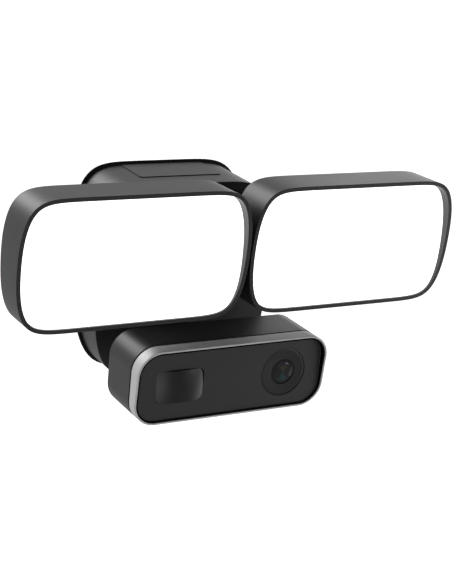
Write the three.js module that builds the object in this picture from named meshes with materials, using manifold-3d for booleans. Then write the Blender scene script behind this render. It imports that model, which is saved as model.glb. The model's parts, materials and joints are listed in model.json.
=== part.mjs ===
// Floodlight security camera: a wedge-shaped wall base, two tilting light heads and a tilting camera.
// Millimetres. +X is to the right as seen from the front, -Y faces away from the wall, +Z is up.
// The origin is the centre of the wall plate's back face.
// Inside a module's own frame x is to the right, y runs back towards the wall and z is up.
import * as THREE from "three";
import { mergeVertices } from "three/addons/utils/BufferGeometryUtils.js";
import Module from "manifold-3d";

const wasm = await Module();
wasm.setup();

// ---------- driving dimensions ----------
const GAP = 0.3; // clearance between neighbouring pieces

const PLATE = { halfWidth: 66.2, halfHeight: 69.2, side: 6.4, top: 2.57, thickness: 1.2 };
const CABLE_HOLE = { z: 24, radius: 12 };
const BOX_SCREW_OFFSET = 44.45; // half of the 88.9 mm spacing of a 4 inch junction box

const BASE_TILT = THREE.MathUtils.degToRad(11.5); // the housing leans down from the wall plate
const BASE = { halfWidth: 64.3, halfHeight: 65.8, side: 6.4, top: 2.57, length: 37.5, wall: 2.5 };
const BASE_BACK_Y = -2.4; // where the leaning housing is cut off, parallel to the wall
const HATCH = { halfWidth: 30, front: -20, thickness: 2, rise: 0.5, seam: 0.3 };

const HEAD = {
  halfWidth: 75.2,
  halfHeight: 41.4,
  side: 10.5,
  top: 2.3,
  depth: 26.1,
  wall: 2.6,
  recess: 4,
  hood: THREE.MathUtils.degToRad(4.7), // the rim slants, so its top edge shades the diffuser
  tilt: THREE.MathUtils.degToRad(9.7),
  centre: new THREE.Vector3(75.8, -122.3, 19.1),
  pinDepth: 39,
};

const CAMERA = {
  halfWidth: 68.3,
  halfHeight: 25.1,
  corner: 15.9,
  depth: 40.6,
  wall: 2.2,
  rim: 1.3,
  recess: 3,
  bezelDepth: 8.6,
  hood: THREE.MathUtils.degToRad(4.35),
  tilt: THREE.MathUtils.degToRad(11),
  centre: new THREE.Vector3(0, -101.6, -63.4),
  pinDepth: 36,
  lensX: 38.3,
};

const JOINT = {
  panToTilt: 22,
  barrelRadius: 8,
  barrelHalfHeight: 8,
  forkThickness: 3,
  tongueHalfWidth: 5,
  lugThickness: 4,
  boltRadius: 2.3,
  flangeRadius: 12,
  flangeThickness: 4,
};
const HEAD_ARM_X = 44;

// ---------- solids ----------
function solidFrom(geometry) {
  const bare = geometry.clone();
  bare.deleteAttribute("normal");
  bare.deleteAttribute("uv");
  const merged = mergeVertices(bare, 1e-4);
  const vertProperties = merged.attributes.position.array;
  const triVerts = new Uint32Array(merged.index.array);
  return new wasm.Manifold(new wasm.Mesh({ numProp: 3, vertProperties, triVerts }));
}

function geometryFrom(solid) {
  const { vertProperties, triVerts } = solid.getMesh();
  const geometry = new THREE.BufferGeometry();
  geometry.setAttribute("position", new THREE.BufferAttribute(new Float32Array(vertProperties), 3));
  geometry.setIndex(new THREE.BufferAttribute(new Uint32Array(triVerts), 1));
  geometry.computeVertexNormals();
  return geometry;
}

function combined(operation, first, others) {
  return geometryFrom(others.reduce((solid, other) => solid[operation](solidFrom(other)), solidFrom(first)));
}

const cut = (body, ...tools) => combined("subtract", body, tools);
const join = (body, ...others) => combined("add", body, others);
const common = (body, other) => combined("intersect", body, [other]);

function box([x0, x1], [y0, y1], [z0, z1]) {
  const geometry = new THREE.BoxGeometry(x1 - x0, y1 - y0, z1 - z0);
  return geometry.translate((x0 + x1) / 2, (y0 + y1) / 2, (z0 + z1) / 2);
}

// A round bar of a given radius between two places along one axis, through a point given by x, y and z.
function bar(axis, radius, [start, end], { x = 0, y = 0, z = 0 } = {}, segments = 16) {
  const geometry = new THREE.CylinderGeometry(radius, radius, end - start, segments);
  if (axis === "x") geometry.rotateZ(-Math.PI / 2);
  if (axis === "z") geometry.rotateX(Math.PI / 2);
  const middle = new THREE.Vector3(x, y, z);
  middle[axis] += (start + end) / 2;
  return geometry.translate(middle.x, middle.y, middle.z);
}

// A piece turned about the Y axis, from [radius, y] pairs that start and end on that axis.
function turned(profile, segments = 16) {
  return new THREE.LatheGeometry(profile.map(([radius, y]) => new THREE.Vector2(radius, y)), segments);
}

// ---------- outlines ----------
// A bowed rectangle: (x / halfWidth)^side + (z / halfHeight)^top = 1, drawn in by an inset.
function bowedOutline({ halfWidth, halfHeight, side, top }, inset = 0, count = 40) {
  return Array.from({ length: count }, (_, i) => {
    const angle = ((i + 0.5) / count) * 2 * Math.PI;
    const c = Math.cos(angle);
    const s = Math.sin(angle);
    const x = halfWidth * Math.sign(c) * Math.abs(c) ** (2 / side);
    const z = halfHeight * Math.sign(s) * Math.abs(s) ** (2 / top);
    const slopeX = (Math.sign(c) * side * Math.abs(x / halfWidth) ** (side - 1)) / halfWidth;
    const slopeZ = (Math.sign(s) * top * Math.abs(z / halfHeight) ** (top - 1)) / halfHeight;
    const steepness = Math.hypot(slopeX, slopeZ);
    return new THREE.Vector2(x - (inset * slopeX) / steepness, z - (inset * slopeZ) / steepness);
  });
}

function roundedOutline(halfWidth, halfHeight, radius, segments = 6) {
  const shape = new THREE.Shape();
  shape.absarc(halfWidth - radius, halfHeight - radius, radius, 0, Math.PI / 2);
  shape.absarc(radius - halfWidth, halfHeight - radius, radius, Math.PI / 2, Math.PI);
  shape.absarc(radius - halfWidth, radius - halfHeight, radius, Math.PI, 1.5 * Math.PI);
  shape.absarc(halfWidth - radius, radius - halfHeight, radius, 1.5 * Math.PI, 2 * Math.PI);
  return shape.getPoints(segments).slice(0, -1);
}

const cameraOutline = (inset) =>
  roundedOutline(CAMERA.halfWidth - inset, CAMERA.halfHeight - inset, CAMERA.corner - inset);

// An outline in the x-z plane made solid from one y to a larger y, with holes if any are given.
function slab(outline, [front, back], holes = []) {
  const shape = new THREE.Shape(outline);
  shape.holes = holes.map((points) => new THREE.Path(points));
  const geometry = new THREE.ExtrudeGeometry(shape, { depth: back - front, bevelEnabled: false });
  return geometry.rotateX(Math.PI / 2).translate(0, back, 0);
}

// A block that fills everything in front of a rim, whose top leans forward by the hood angle.
function frontOfRim(hood, offset) {
  const block = box([-100, 100], [-60, 0], [-100, 100]);
  return block.rotateX(hood).translate(0, offset, 0);
}

// ---------- materials ----------
function material(color, roughness, metalness = 0) {
  return new THREE.MeshStandardMaterial({ color, roughness, metalness });
}

const SATIN_GREY = material(0x3a3a3c, 0.42);
const BLACK = material(0x141415, 0.4);
const GLOSS_BLACK = material(0x0c0c0e, 0.12);
const SILVER = material(0xb9babc, 0.3, 0.9);
const STEEL = material(0x8f9194, 0.35, 1);
const RUBBER = material(0x18181a, 0.8);
const DIFFUSER = material(0xffffff, 0.5);
const WHITE = material(0xe8e8e6, 0.6);
const BOARD = material(0x1c5a38, 0.55);
const ALUMINIUM = material(0xa8abae, 0.4, 1);
const GLASS = material(0x20202c, 0.05);

// ---------- joints: an arm on the base, a knuckle that pans, and two bolts ----------
// The frame's origin is the middle of the arm's flange, on the housing's front face.
function arm(reach) {
  const { flangeRadius, flangeThickness, barrelRadius, barrelHalfHeight, boltRadius } = JOINT;
  const flange = bar("y", flangeRadius, [-flangeThickness - GAP, -GAP], {}, 24);
  const neck = box([-5, 5], [-reach, -flangeThickness], [-6, 6]);
  const barrel = bar("z", barrelRadius, [-barrelHalfHeight, barrelHalfHeight], { y: -reach });
  const bore = bar("z", boltRadius + GAP, [-20, 20], { y: -reach }, 16);
  return cut(join(flange, neck, barrel), bore);
}

function knuckle(reach) {
  const { panToTilt, barrelRadius, barrelHalfHeight, forkThickness, tongueHalfWidth, boltRadius } = JOINT;
  const webBack = -reach - barrelRadius - 0.6;
  const pin = -reach - panToTilt;
  const webFront = pin + barrelRadius + 0.8;
  const forks = [1, -1].map((side) => {
    const inner = side * (barrelHalfHeight + GAP);
    const outer = side * (barrelHalfHeight + GAP + forkThickness);
    const z = [Math.min(inner, outer), Math.max(inner, outer)];
    const eye = bar("z", barrelRadius, z, { y: -reach });
    return join(eye, box([-barrelRadius, barrelRadius], [webFront, -reach], z));
  });
  const height = barrelHalfHeight + GAP + forkThickness;
  const web = box([-barrelRadius, barrelRadius], [webFront, webBack], [-height, height]);
  const tongue = box([-tongueHalfWidth, tongueHalfWidth], [pin, webFront + 1], [-barrelRadius, barrelRadius]);
  const eye = bar("x", barrelRadius, [-tongueHalfWidth, tongueHalfWidth], { y: pin });
  const panBore = bar("z", boltRadius + GAP, [-20, 20], { y: -reach }, 16);
  const tiltBore = bar("x", boltRadius + GAP, [-20, 20], { y: pin }, 16);
  return cut(join(web, ...forks, tongue, eye), panBore, tiltBore);
}

// A bolt along the Y axis with a domed head at one end and a nut at the other.
function bolt(halfGrip) {
  const { boltRadius } = JOINT;
  const headRadius = boltRadius * 1.8;
  const seat = halfGrip + GAP;
  return turned(
    [
      [0, -seat - 2.4],
      [headRadius, -seat - 2.4],
      [headRadius, -seat],
      [boltRadius, -seat],
      [boltRadius, seat],
      [headRadius, seat],
      [headRadius, seat + 1.2],
      [headRadius * 0.7, seat + 2.2],
      [0, seat + 2.4],
    ],
    12,
  );
}

function panBolt(reach) {
  const { barrelHalfHeight, forkThickness } = JOINT;
  const geometry = bolt(barrelHalfHeight + GAP + forkThickness);
  return geometry.rotateX(Math.PI / 2).translate(0, -reach, 0);
}

function tiltBolt() {
  const { tongueHalfWidth, lugThickness } = JOINT;
  return bolt(tongueHalfWidth + GAP + lugThickness).rotateZ(-Math.PI / 2);
}

// Two lugs that hug the knuckle's tongue, from a module's back at `root` to its tilt pin.
function lugs(x, root, pin) {
  const { barrelRadius, tongueHalfWidth, lugThickness } = JOINT;
  return [1, -1].map((side) => {
    const inner = tongueHalfWidth + GAP;
    const span = [x + side * inner, x + side * (inner + lugThickness)].sort((a, b) => a - b);
    const ear = box(span, [root, pin], [-barrelRadius, barrelRadius]);
    return join(ear, bar("x", barrelRadius, span, { y: pin }));
  });
}

const lugBore = (x, pin) => bar("x", JOINT.boltRadius + GAP, [x - 20, x + 20], { y: pin }, 16);

// ---------- light head, in its own frame: the rim's middle is the origin ----------
const headOutline = (inset) => bowedOutline(HEAD, inset);

const FLANGE = [8, 10]; // the ledge inside the head that the diffuser sits against
const LED_BOARD_FRONT = 14;
const LED = { pitchX: 17, pitchZ: 20, half: 1.8 };
const FIN = { pitch: 8.5, halfWidth: 0.9, halfHeight: 26, rise: 3, clearOfLugs: 14 };
const COVER = [22.6, 25.6];
const COVER_SCREW = { x: 58, z: 24 };

function headHousing() {
  const shell = slab(headOutline(0), [-10, HEAD.depth]);
  const pocket = slab(headOutline(HEAD.wall), [-12, FLANGE[0]]);
  const window = slab(headOutline(HEAD.wall + 3), [FLANGE[0] - 1, FLANGE[1] + 1]);
  const cavity = slab(headOutline(HEAD.wall), [FLANGE[1], HEAD.depth + 1]);
  return cut(shell, pocket, window, cavity, frontOfRim(HEAD.hood, 0));
}

const diffuser = () => slab(headOutline(HEAD.wall + 0.2), [HEAD.recess, HEAD.recess + 2.6]);

const diffuserSeal = () =>
  slab(headOutline(HEAD.wall + 0.4), [HEAD.recess + 2.8, FLANGE[0] - 0.2], [headOutline(HEAD.wall + 2.6)]);

const reflector = () =>
  slab(headOutline(HEAD.wall + 1), [FLANGE[1] + 0.2, LED_BOARD_FRONT - 1], [headOutline(HEAD.wall + 4)]);

// An aluminium-core board with a grid of light-emitting packages standing on its front.
function ledBoard() {
  const board = slab(headOutline(HEAD.wall + 1), [LED_BOARD_FRONT, LED_BOARD_FRONT + 1.6]);
  const depth = [LED_BOARD_FRONT - 0.8, LED_BOARD_FRONT + 0.5];
  const packages = [];
  for (const column of [-3, -2, -1, 0, 1, 2, 3]) {
    for (const row of [-1, 0, 1]) {
      const x = column * LED.pitchX;
      const z = row * LED.pitchZ;
      packages.push(box([x - LED.half, x + LED.half], depth, [z - LED.half, z + LED.half]));
    }
  }
  return join(board, ...packages);
}

// Die-cast back cover: cooling fins, four screw holes and the two lugs for the tilt bolt.
function rearCover(lugX) {
  const plate = slab(headOutline(HEAD.wall + 0.2), COVER);
  const fins = [];
  for (const i of [-5, -4, -3, -2, -1, 0, 1, 2, 3, 4, 5]) {
    const x = i * FIN.pitch;
    const besideLugs = Math.abs(x - lugX) < FIN.clearOfLugs;
    const width = [x - FIN.halfWidth, x + FIN.halfWidth];
    const depth = [COVER[0] + 1, COVER[1] + FIN.rise];
    if (!besideLugs) fins.push(box(width, depth, [-FIN.halfHeight, FIN.halfHeight]));
  }
  const holes = [];
  for (const x of [-COVER_SCREW.x, COVER_SCREW.x]) {
    for (const z of [-COVER_SCREW.z, COVER_SCREW.z]) {
      holes.push(bar("y", 1.8, [COVER[0] - 1, COVER[1] + 1], { x, z }, 12));
    }
  }
  const body = join(plate, ...fins, ...lugs(lugX, COVER[0] + 1, HEAD.pinDepth));
  return cut(body, ...holes, lugBore(lugX, HEAD.pinDepth));
}

// A pan-head screw that points forward, standing on the plane y = 0.
function screw(shank, headRadius = 2.8, shankRadius = 1.5) {
  return turned(
    [
      [0, -shank],
      [shankRadius, -shank],
      [shankRadius, 0],
      [headRadius, 0],
      [headRadius, 0.9],
      [headRadius * 0.6, 1.6],
      [0, 1.7],
    ],
    8,
  );
}

// ---------- camera, in its own frame: the rim's middle is the origin ----------
const WINDOW = { x: -36.8, z: -0.8, halfWidth: 16.5, halfHeight: 10.5, corner: 4.5 }; // the motion sensor's
const LENS_HOLE = 16.3;
const PANEL = [CAMERA.recess, CAMERA.recess + 2];
const SEAM = [CAMERA.bezelDepth + 0.1, CAMERA.bezelDepth + 0.9];
const SHELL_FRONT = CAMERA.bezelDepth + 1;
const POCKET = { halfWidth: 16, halfHeight: 14, front: 26 };
const SPEAKER = { y: 15, radius: 8, height: 6, z: -13 };
const BUTTON = { x: 40, radius: 4, travel: 0.8 };

const circle = (radius, x, count = 24) =>
  Array.from({ length: count }, (_, i) => {
    const angle = (i / count) * 2 * Math.PI;
    return new THREE.Vector2(x + radius * Math.cos(angle), radius * Math.sin(angle));
  });

function eyeWindow(clearance) {
  const { x, z, halfWidth, halfHeight, corner } = WINDOW;
  const points = roundedOutline(halfWidth + clearance, halfHeight + clearance, corner + clearance, 4);
  return points.map((point) => new THREE.Vector2(point.x + x, point.y + z));
}

function bezel() {
  const ring = slab(cameraOutline(0), [-10, CAMERA.bezelDepth], [cameraOutline(CAMERA.rim)]);
  return cut(ring, frontOfRim(CAMERA.hood, 0));
}

// The dark front is a tray: a flat panel with a thin wall that lines the bezel.
function frontPanel() {
  const liner = slab(cameraOutline(CAMERA.rim + 0.2), [-10, PANEL[1]], [cameraOutline(CAMERA.rim + 1.2)]);
  const holes = [eyeWindow(0.25), circle(LENS_HOLE, CAMERA.lensX)];
  const panel = slab(cameraOutline(CAMERA.rim + 0.7), PANEL, holes);
  return cut(join(panel, liner), frontOfRim(CAMERA.hood, 0.5));
}

const cameraSeam = () => slab(cameraOutline(0.9), SEAM, [cameraOutline(CAMERA.wall + 0.8)]);

function cameraShell() {
  const outer = slab(cameraOutline(0), [SHELL_FRONT, CAMERA.depth]);
  const cavity = slab(cameraOutline(CAMERA.wall), [SHELL_FRONT - 1, CAMERA.depth - CAMERA.wall]);
  const { halfWidth, halfHeight, front } = POCKET;
  const wall = CAMERA.wall;
  const pocketWall = box(
    [-halfWidth - wall, halfWidth + wall],
    [front - wall, CAMERA.depth - 1],
    [-halfHeight - wall, halfHeight + wall],
  );
  const pocket = box([-halfWidth, halfWidth], [front, CAMERA.depth + 1], [-halfHeight, halfHeight]);
  const slots = [0, 1, 2, 3].map((i) => {
    const y = SPEAKER.y + i * 2.4;
    return box([-7, 7], [y, y + 1.2], [-CAMERA.halfHeight - 1, -CAMERA.halfHeight + 6]);
  });
  const buttonHole = bar("y", BUTTON.radius + GAP, [CAMERA.depth - 6, CAMERA.depth + 1], { x: BUTTON.x });
  const body = join(cut(outer, cavity), pocketWall);
  const hinge = lugs(0, front - 1, CAMERA.pinDepth);
  return cut(join(cut(body, pocket), ...hinge), ...slots, buttonHole, lugBore(0, CAMERA.pinDepth));
}

// The motion sensor's lens: a window whose face bulges like the end of an egg. Its sides and its
// bottom meet the panel, and its top edge lies a little behind it.
const BULGE = { front: 0.8, x: 36, y: 20, z: 50, middleZ: -7 };

function pirLens() {
  const block = slab(eyeWindow(0), [PANEL[0] - 4, PANEL[1] + 2.4]);
  const egg = new THREE.SphereGeometry(1, 64, 40).scale(BULGE.x, BULGE.y, BULGE.z);
  return common(block, egg.translate(WINDOW.x, BULGE.front + BULGE.y, BULGE.middleZ));
}

function pirSensor() {
  const can = turned([[0, 10], [4.2, 10], [4.2, 13.6], [5, 13.6], [5, 14.4], [0, 14.4]]);
  return can.translate(WINDOW.x, 0, WINDOW.z);
}

// The lens parts are turned about the lens axis. A ring's profile returns to its first point.
const LENS_FRONT = PANEL[0] + 0.1;
const onLensAxis = (geometry) => geometry.translate(CAMERA.lensX, 0, 0);

function lensRing() {
  const [face, back] = [LENS_FRONT + 0.2, LENS_FRONT + 2.3];
  const [inner, chamfer, outer] = [8.6, 15, 16.1];
  const profile = [
    [inner, face + 0.3],
    [chamfer, face],
    [outer, face + 0.8],
    [outer, back],
    [inner, back],
    [inner, face + 0.3],
  ];
  return onLensAxis(turned(profile, 24));
}

function lensBarrel() {
  const front = LENS_FRONT + 1.8;
  const profile = [[7, front], [8.2, front], [8.2, 14], [9.5, 14], [9.5, 24], [7, 24], [7, front]];
  return onLensAxis(turned(profile, 20));
}

function lensDome() {
  const back = LENS_FRONT + 1.7;
  const profile = [
    [0, LENS_FRONT],
    [3, LENS_FRONT + 0.12],
    [5.7, LENS_FRONT + 0.45],
    [8.3, LENS_FRONT + 1.05],
    [8.3, back],
    [0, back],
  ];
  return onLensAxis(turned(profile, 20));
}

// A ring board around the barrel with eight infrared emitters behind the dark ring.
function infraredBoard() {
  const ring = turned([[10, 9], [15.5, 9], [15.5, 10.4], [10, 10.4], [10, 9]], 20);
  const emitters = Array.from({ length: 8 }, (_, i) => {
    const angle = (i / 8) * 2 * Math.PI;
    const place = { x: 12.8 * Math.cos(angle), z: 12.8 * Math.sin(angle) };
    return bar("y", 1.5, [7.6, 9.5], place, 6);
  });
  return onLensAxis(join(ring, ...emitters));
}

function sensorBoard() {
  const board = box([-13, 13], [24.3, 25.9], [-13, 13]);
  const imager = box([-4, 4], [22.6, 25], [-3, 3]);
  return onLensAxis(join(board, imager));
}

// Two boards behind the hinge pocket's sides, joined by a third that runs in front of the pocket.
function mainBoard() {
  const sides = [box([-58, -20], [30, 31.6], [-17, 17]), box([20, 58], [30, 31.6], [-17, 17])];
  const bridge = box([-58, 23.5], [18, 19.6], [2, 17]);
  const connectors = [box([-49, -41], [19, 30.5], [8, 12]), box([20.5, 23.5], [19, 30.5], [8, 12])];
  const shield = box([-14, 10], [16.6, 18.5], [5, 14]);
  return join(bridge, ...sides, ...connectors, shield);
}

function speaker() {
  const { radius, height, y, z } = SPEAKER;
  return bar("z", radius, [z - height / 2, z + height / 2], { y });
}

// A round key through the shell's back wall, with a flange that keeps it inside.
function setupButton() {
  const back = CAMERA.depth;
  const inside = back - CAMERA.wall - GAP - BUTTON.travel;
  const { radius } = BUTTON;
  const profile = [
    [0, inside - 1.2],
    [radius + 1.2, inside - 1.2],
    [radius + 1.2, inside],
    [radius, inside],
    [radius, back + 0.4],
    [radius - 0.6, back + 1],
    [0, back + 1],
  ];
  return turned(profile).translate(BUTTON.x, 0, 0);
}

// ---------- base: built upright against the wall, its housing leaning by BASE_TILT ----------
const plateOutline = (inset) => bowedOutline(PLATE, inset);
const baseOutline = (inset) => bowedOutline(BASE, inset);
const behindBase = () => box([-100, 100], [BASE_BACK_Y, 100], [-200, 200]);
const TAB = { x: 30, y: -9, z: -57 };
const SCREW_SEAT_Z = -67.2;

function slotHole(x, z, alongX) {
  const reach = 3.5;
  const radius = 2.5;
  const [dx, dz] = alongX ? [reach, 0] : [0, reach];
  const [halfX, halfZ] = alongX ? [reach, radius] : [radius, reach];
  const ends = [1, -1].map((side) => bar("y", radius, [-5, 5], { x: x + side * dx, z: z + side * dz }, 12));
  return join(box([x - halfX, x + halfX], [-5, 5], [z - halfZ, z + halfZ]), ...ends);
}

// Steel bracket that screws to the junction box; two tabs at the bottom take the housing screws.
function wallPlate() {
  const plate = slab(plateOutline(0), [-PLATE.thickness, 0]);
  const tabs = [-TAB.x, TAB.x].map((x) => box([x - 6, x + 6], [-15, -0.5], [TAB.z - 1.2, TAB.z + 1.2]));
  const tabHoles = [-TAB.x, TAB.x].map((x) => bar("z", 1.8, [TAB.z - 3, TAB.z + 3], { x, y: TAB.y }, 12));
  const d = BOX_SCREW_OFFSET;
  const sideSlots = [slotHole(-d, 0, true), slotHole(d, 0, true)];
  const slots = [...sideSlots, slotHole(0, -d, false), slotHole(0, d + 5, false)];
  const cableHole = bar("y", CABLE_HOLE.radius, [-5, 5], { z: CABLE_HOLE.z }, 24);
  return cut(join(plate, ...tabs), cableHole, ...tabHoles, ...slots);
}

const wallGasket = () =>
  slab(plateOutline(2.3), [BASE_BACK_Y + 0.1, -PLATE.thickness - 0.1], [plateOutline(4.4)]);

function cableGrommet() {
  const { radius, z } = CABLE_HOLE;
  const front = -PLATE.thickness - GAP;
  const profile = [
    [5, front - 3],
    [radius + 2, front - 3],
    [radius + 2, front],
    [radius - GAP, front],
    [radius - GAP, -0.2],
    [5, -0.2],
    [5, front - 3],
  ];
  return turned(profile, 24).translate(0, 0, z);
}

function hatchBlock(extra) {
  const side = HATCH.halfWidth + extra;
  return box([-side, side], [HATCH.front - extra, 40], [50, 80]);
}

function housingScrewHole(x) {
  const shank = bar("z", 1.9, [-75, -60], { x, y: TAB.y }, 12);
  const seat = bar("z", 3.4, [-75, SCREW_SEAT_Z], { x, y: TAB.y }, 16);
  return join(shank, seat);
}

function baseHousing(armPlaces) {
  const { length, wall } = BASE;
  const outer = slab(baseOutline(0), [-length, 40]);
  const cavity = slab(baseOutline(wall), [wall - length, 41]);
  const wireHoles = armPlaces.map(({ x, z }) => bar("y", 4, [-length - 5, -length + 5], { x, z }, 16));
  const hatchHole = common(hatchBlock(HATCH.seam), slab(baseOutline(-5), [-length, 60]));
  const leaning = cut(outer, cavity, ...wireHoles, hatchHole).rotateX(BASE_TILT);
  return cut(leaning, behindBase(), housingScrewHole(-TAB.x), housingScrewHole(TAB.x));
}

// The service cover closes the housing's top, follows its bowed surface and stands a little proud of it.
function serviceCover() {
  const skin = slab(baseOutline(-HATCH.rise), [-BASE.length, 40], [baseOutline(HATCH.thickness)]);
  return cut(common(hatchBlock(0), skin).rotateX(BASE_TILT), behindBase());
}

const leaning = (geometry) => geometry.rotateX(BASE_TILT);

const driverBoard = () => leaning(box([-48, 48], [-16, -14.4], [-44, 40]));
const transformer = () => leaning(box([-40, -16], [-30.5, -16.3], [-30, -8]));
const relay = () => leaning(box([16, 32], [-28, -16.3], [-34, -20]));
const terminalBlock = () => leaning(box([-14, 14], [-14.1, -5], [14, 26]));
const capacitor = () => leaning(bar("y", 6, [-31, -16.3], { x: 0, z: -18 }));

// A disc sounder with a shallow horn, held behind the housing's front wall.
function siren() {
  const profile = [
    [0, -31.5],
    [13, -31.5],
    [13, -24],
    [6, -21],
    [0, -21],
  ];
  return leaning(turned(profile).translate(0, 0, 14));
}

// ---------- the assembly ----------
const group = new THREE.Group();

function place(parent, name, geometry, look) {
  const mesh = new THREE.Mesh(geometry, look);
  mesh.name = name;
  parent.add(mesh);
  return mesh;
}

function frameAt(parent, position, tilt) {
  const frame = new THREE.Group();
  frame.position.copy(position);
  frame.rotation.x = tilt;
  parent.add(frame);
  return frame;
}

// Where a module's tilt pin is: in the leaning base's own frame.
function pinInBase({ centre, tilt, pinDepth }, x) {
  const pin = new THREE.Vector3(0, pinDepth, 0).applyAxisAngle(new THREE.Vector3(1, 0, 0), tilt).add(centre);
  pin.x = x;
  return pin.applyAxisAngle(new THREE.Vector3(1, 0, 0), -BASE_TILT);
}

function addArm(name, pin) {
  const reach = -pin.y - BASE.length - JOINT.panToTilt;
  const root = new THREE.Vector3(pin.x, -BASE.length, pin.z);
  root.applyAxisAngle(new THREE.Vector3(1, 0, 0), BASE_TILT);
  const frame = frameAt(group, root, BASE_TILT);
  place(frame, `${name}_arm`, arm(reach), SATIN_GREY);
  place(frame, `${name}_knuckle`, knuckle(reach), SATIN_GREY);
  place(frame, `${name}_pan_bolt`, panBolt(reach), STEEL);
}

function addHead(name, side) {
  const centre = HEAD.centre.clone();
  centre.x *= side;
  const lugX = side * HEAD_ARM_X - centre.x;
  const frame = frameAt(group, centre, HEAD.tilt);
  place(frame, `${name}_housing`, headHousing(), SATIN_GREY);
  place(frame, `${name}_diffuser`, diffuser(), DIFFUSER);
  place(frame, `${name}_diffuser_seal`, diffuserSeal(), RUBBER);
  place(frame, `${name}_reflector`, reflector(), WHITE);
  place(frame, `${name}_led_board`, ledBoard(), WHITE);
  place(frame, `${name}_rear_cover`, rearCover(lugX), SATIN_GREY);
  const bolted = place(frame, `${name}_tilt_bolt`, tiltBolt(), STEEL);
  bolted.position.set(lugX, HEAD.pinDepth, 0);
  for (const [end, x] of [["left", -COVER_SCREW.x], ["right", COVER_SCREW.x]]) {
    for (const [level, z] of [["lower", -COVER_SCREW.z], ["upper", COVER_SCREW.z]]) {
      const fastener = place(frame, `${name}_screw_${level}_${end}`, screw(6), STEEL);
      fastener.position.set(x, COVER[1] + 0.1, z);
    }
  }
}

function addCamera() {
  const frame = frameAt(group, CAMERA.centre, CAMERA.tilt);
  place(frame, "camera_bezel", bezel(), SILVER);
  place(frame, "camera_front_panel", frontPanel(), GLOSS_BLACK);
  place(frame, "camera_seam_gasket", cameraSeam(), RUBBER);
  place(frame, "camera_shell", cameraShell(), SATIN_GREY);
  place(frame, "motion_lens", pirLens(), GLOSS_BLACK);
  place(frame, "motion_sensor", pirSensor(), STEEL);
  place(frame, "lens_ring", lensRing(), GLOSS_BLACK);
  place(frame, "lens_barrel", lensBarrel(), BLACK);
  place(frame, "lens_glass", lensDome(), GLASS);
  place(frame, "infrared_board", infraredBoard(), BOARD);
  place(frame, "image_sensor_board", sensorBoard(), BOARD);
  place(frame, "main_board", mainBoard(), BOARD);
  place(frame, "speaker", speaker(), BLACK);
  place(frame, "setup_button", setupButton(), RUBBER);
  place(frame, "camera_tilt_bolt", tiltBolt(), STEEL).position.set(0, CAMERA.pinDepth, 0);
}

function addBase(armPlaces) {
  place(group, "wall_plate", wallPlate(), BLACK);
  place(group, "wall_gasket", wallGasket(), RUBBER);
  place(group, "cable_grommet", cableGrommet(), RUBBER);
  place(group, "base_housing", baseHousing(armPlaces), SATIN_GREY);
  place(group, "service_cover", serviceCover(), SATIN_GREY);
  place(group, "driver_board", driverBoard(), BOARD);
  place(group, "driver_transformer", transformer(), BLACK);
  place(group, "driver_relay", relay(), BLACK);
  place(group, "driver_capacitor", capacitor(), ALUMINIUM);
  place(group, "terminal_block", terminalBlock(), WHITE);
  place(group, "siren", siren(), BLACK);
  for (const [side, x] of [["left", -TAB.x], ["right", TAB.x]]) {
    const fastener = place(group, `housing_screw_${side}`, screw(12), STEEL);
    fastener.rotation.x = -Math.PI / 2;
    fastener.position.set(x, TAB.y, SCREW_SEAT_Z - GAP);
  }
}

const pins = {
  left_head: pinInBase(HEAD, -HEAD_ARM_X),
  right_head: pinInBase(HEAD, HEAD_ARM_X),
  camera: pinInBase(CAMERA, 0),
};

addBase(Object.values(pins));
for (const [name, pin] of Object.entries(pins)) addArm(name, pin);
addHead("left_head", -1);
addHead("right_head", 1);
addCamera();

export default group;
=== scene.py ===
import json
import math

import bmesh
import bpy
import numpy as np
from mathutils import Matrix, Vector


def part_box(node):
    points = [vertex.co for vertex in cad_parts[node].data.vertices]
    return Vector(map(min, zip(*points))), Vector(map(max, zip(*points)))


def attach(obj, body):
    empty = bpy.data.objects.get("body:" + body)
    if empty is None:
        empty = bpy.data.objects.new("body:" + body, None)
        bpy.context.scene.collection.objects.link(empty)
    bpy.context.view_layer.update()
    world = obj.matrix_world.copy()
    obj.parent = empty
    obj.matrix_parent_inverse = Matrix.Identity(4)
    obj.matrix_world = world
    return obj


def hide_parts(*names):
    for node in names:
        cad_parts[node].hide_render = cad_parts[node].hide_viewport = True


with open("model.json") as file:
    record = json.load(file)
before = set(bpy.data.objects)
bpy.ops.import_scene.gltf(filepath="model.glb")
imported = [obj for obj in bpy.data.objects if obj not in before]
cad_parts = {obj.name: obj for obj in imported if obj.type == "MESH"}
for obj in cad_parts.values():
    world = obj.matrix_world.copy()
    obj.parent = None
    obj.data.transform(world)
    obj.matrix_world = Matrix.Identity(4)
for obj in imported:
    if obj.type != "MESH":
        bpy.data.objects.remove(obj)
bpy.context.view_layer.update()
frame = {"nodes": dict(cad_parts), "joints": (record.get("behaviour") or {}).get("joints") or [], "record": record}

# The looks of the floodlight security camera. Shapes are worked out in millimetres in the CAD part's own
# frames: x to the right, y back towards the wall, z up. They become metres when a mesh is made.
MM = 0.001

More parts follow.
